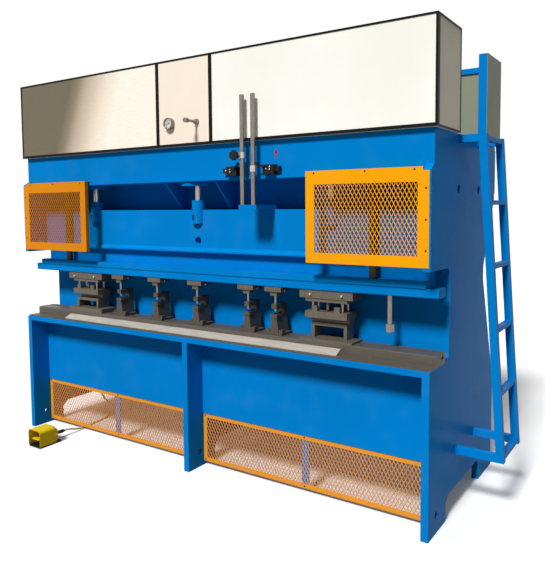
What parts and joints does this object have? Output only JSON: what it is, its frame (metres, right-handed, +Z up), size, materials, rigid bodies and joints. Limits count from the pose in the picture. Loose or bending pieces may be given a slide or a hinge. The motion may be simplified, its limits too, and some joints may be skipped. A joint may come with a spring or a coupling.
{
  "type": "multi-station hydraulic c-frame punching press",
  "caption": "Long hydraulic C-frame press that punches profiles: a ram beam over narrow punch units and wide die sets, with mesh guards, deck covers, ladder and foot pedal.",
  "frame": {"origin": "on the floor, in the middle of the centre leg's front foot", "axes": "+X along the machine to the right as the operator sees it, +Y from the operator to the back, +Z up"},
  "size_m": [3.426, 1.518, 2.57],
  "materials": {
    "blue_paint": "gloss paint",
    "orange_paint": "gloss paint",
    "pale_panel": "satin paint",
    "brushed_panel": "brushed",
    "dark_trim": "satin black",
    "grey_panel": "satin paint",
    "machined_steel": "machined, a little stained",
    "pale_steel": "machined",
    "dark_steel": "oiled",
    "bright_rod": "ground",
    "bronze": "machined",
    "black_plastic": "moulded",
    "yellow_paint": "gloss paint",
    "conduit": "ribbed",
    "motor_grey": "painted casting",
    "clear_glass": "clear"
  },
  "bodies": {
    "frame": {"side_plate_left": "blue_paint", "side_plate_right": "blue_paint", "centre_leg": "blue_paint", "table_plate": "blue_paint", "front_panels": "blue_paint", "back_wall": "blue_paint", "head_beam": "blue_paint", "deck_plate": "blue_paint", "rear_ties": "blue_paint", "guard_stiffeners": "blue_paint", "rear_cover_frame": "blue_paint", "ladder": "blue_paint", "stop_rods": "blue_paint", "upper_guard_left": "orange_paint", "upper_guard_right": "orange_paint", "lower_guard_left": "orange_paint", "lower_guard_right": "orange_paint", "cover_panel_centre": "pale_panel", "cover_panel_right": "pale_panel", "cover_panel_left": "brushed_panel", "cover_trims": "dark_trim", "front_cover_shell": "grey_panel", "rear_cover_panels": "grey_panel", "hydraulic_tank": "grey_panel", "terminal_box": "grey_panel", "bed_bar": "machined_steel", "punch_unit_frames": "machined_steel", "die_set_bases": "machined_steel", "die_plates": "machined_steel", "guide_rails": "machined_steel", "cylinder_barrels": "machined_steel", "wedge_strip": "pale_steel", "guide_posts": "pale_steel", "die_buttons": "dark_steel", "stop_nuts": "dark_steel", "gauge_case": "bright_rod", "switch_bodies": "black_plastic", "pedal_base": "black_plastic", "cable_gland": "black_plastic", "pedal_hood": "yellow_paint", "pedal_conduit": "conduit", "pump_motor": "motor_grey", "gauge_glass": "clear_glass"},
    "ram": {"ram_beam": "blue_paint", "ledge_plate": "blue_paint", "tool_plate": "blue_paint", "piston_rods": "bright_rod", "trip_rods": "bright_rod", "trip_collars": "pale_steel", "clamp_knob": "black_plastic", "tool_adaptors": "machined_steel", "punches": "bright_rod", "upper_shoes": "machined_steel", "hanging_rod": "bright_rod", "guide_pads": "bronze"},
    "needle": {"gauge_needle": "black_plastic"},
    "valve": {"valve_knob": "bright_rod"},
    "lever_left": {"switch_lever_left": "black_plastic"},
    "lever_right": {"switch_lever_right": "black_plastic"},
    "treadle": {"pedal_treadle": "yellow_paint"}
  },
  "joints": [
    {"name": "ram_slide", "type": "slide", "parent": "frame", "child": "ram", "axis": [0, 0, -1], "range_m": [0, 0.02]},
    {"name": "needle_turn", "type": "hinge", "parent": "frame", "child": "needle", "pos_m": [-0.1, -0.1, 2.182], "axis": [0, 1, 0], "range_deg": [0, 270], "stiffness_Nm_per_rad": 0.01},
    {"name": "valve_turn", "type": "hinge", "parent": "frame", "child": "valve", "pos_m": [0.113, -0.15, 2.178], "axis": [0, 1, 0], "range_deg": [-360, 360]},
    {"name": "lever_left_turn", "type": "hinge", "parent": "frame", "child": "lever_left", "pos_m": [0.404, -0.138, 1.887], "axis": [0, 1, 0], "range_deg": [0, 25], "stiffness_Nm_per_rad": 0.5, "springref_deg": -5.73},
    {"name": "lever_right_turn", "type": "hinge", "parent": "frame", "child": "lever_right", "pos_m": [0.612, -0.138, 1.887], "axis": [0, 1, 0], "range_deg": [0, 25], "stiffness_Nm_per_rad": 0.5, "springref_deg": -5.73},
    {"name": "treadle_press", "type": "hinge", "parent": "frame", "child": "treadle", "pos_m": [-1.17, -0.2845, 0.027], "axis": [1, 0, 0], "range_deg": [0, 12], "stiffness_Nm_per_rad": 8, "springref_deg": -5.73}
  ]
}
